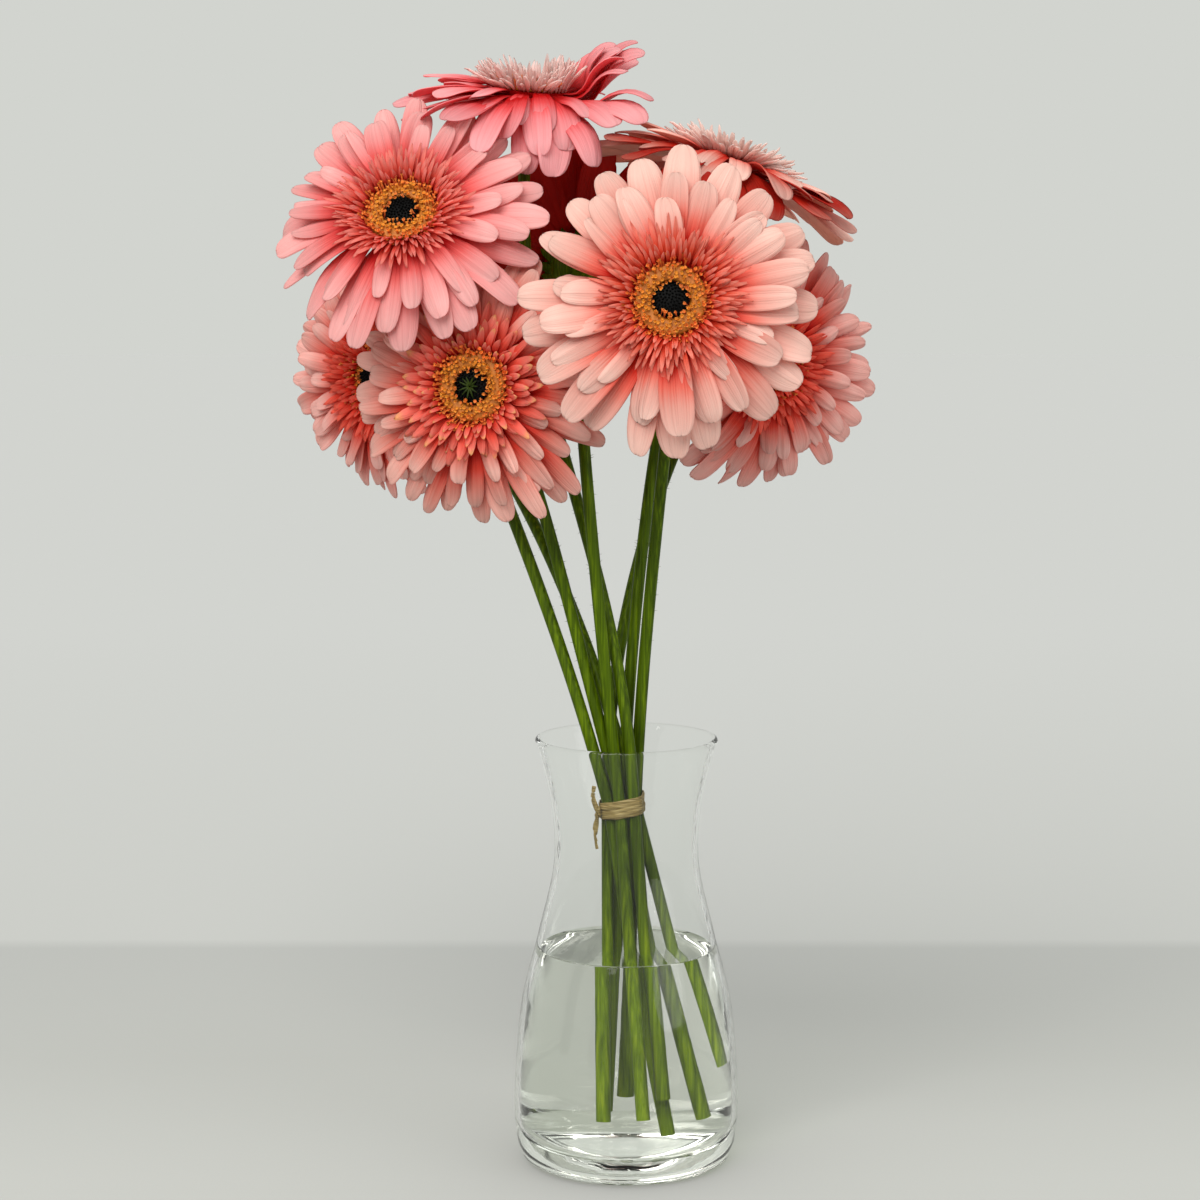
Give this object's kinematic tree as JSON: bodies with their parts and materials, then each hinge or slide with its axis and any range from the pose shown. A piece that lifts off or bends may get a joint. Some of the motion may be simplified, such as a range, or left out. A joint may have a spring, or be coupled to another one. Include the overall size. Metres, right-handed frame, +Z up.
{
  "type": "gerberas in a vase",
  "caption": "Tied bunch of pink gerbera daisies standing in a clear glass vase of water.",
  "frame": {"origin": "centre of the vase's flat base, on the surface it stands on", "axes": "+Z up along the vase's axis; -Y towards the side from which the bunch is seen, so +X is to that viewer's right"},
  "size_m": [0.2484, 0.1794, 0.4622],
  "materials": {
    "stem": "fresh green, finely hairy, satin",
    "petals_front_right": "soft velvety petal, slightly translucent",
    "petals_front_left": "soft velvety petal, slightly translucent",
    "petals_upper_left": "soft velvety petal, slightly translucent",
    "petals_top": "soft velvety petal, slightly translucent",
    "petals_upper_right": "soft velvety petal, slightly translucent",
    "petals_right": "soft velvety petal, slightly translucent",
    "petals_left": "soft velvety petal, slightly translucent",
    "petals_back": "soft velvety petal, slightly translucent",
    "florets": "soft velvety petal, coral",
    "disc": "matte, grainy, golden orange",
    "eye": "matte, almost black",
    "vase": "clear, polished",
    "water": "clear water",
    "tie": "dry natural raffia"
  },
  "bodies": {
    "root": {"stem_front_right": "stem", "petals_front_right": "petals_front_right", "florets_front_right": "florets", "disc_front_right": "disc", "eye_front_right": "eye", "stem_front_left": "stem", "petals_front_left": "petals_front_left", "florets_front_left": "florets", "disc_front_left": "disc", "eye_front_left": "eye", "stem_upper_left": "stem", "petals_upper_left": "petals_upper_left", "florets_upper_left": "florets", "disc_upper_left": "disc", "eye_upper_left": "eye", "stem_top": "stem", "petals_top": "petals_top", "florets_top": "florets", "disc_top": "disc", "eye_top": "eye", "stem_upper_right": "stem", "petals_upper_right": "petals_upper_right", "florets_upper_right": "florets", "disc_upper_right": "disc", "eye_upper_right": "eye", "stem_right": "stem", "petals_right": "petals_right", "florets_right": "florets", "disc_right": "disc", "eye_right": "eye", "stem_left": "stem", "petals_left": "petals_left", "florets_left": "florets", "disc_left": "disc", "eye_left": "eye", "stem_back": "stem", "petals_back": "petals_back", "florets_back": "florets", "disc_back": "disc", "eye_back": "eye", "vase": "vase", "water": "water", "tie": "tie"}
  },
  "joints": []
}
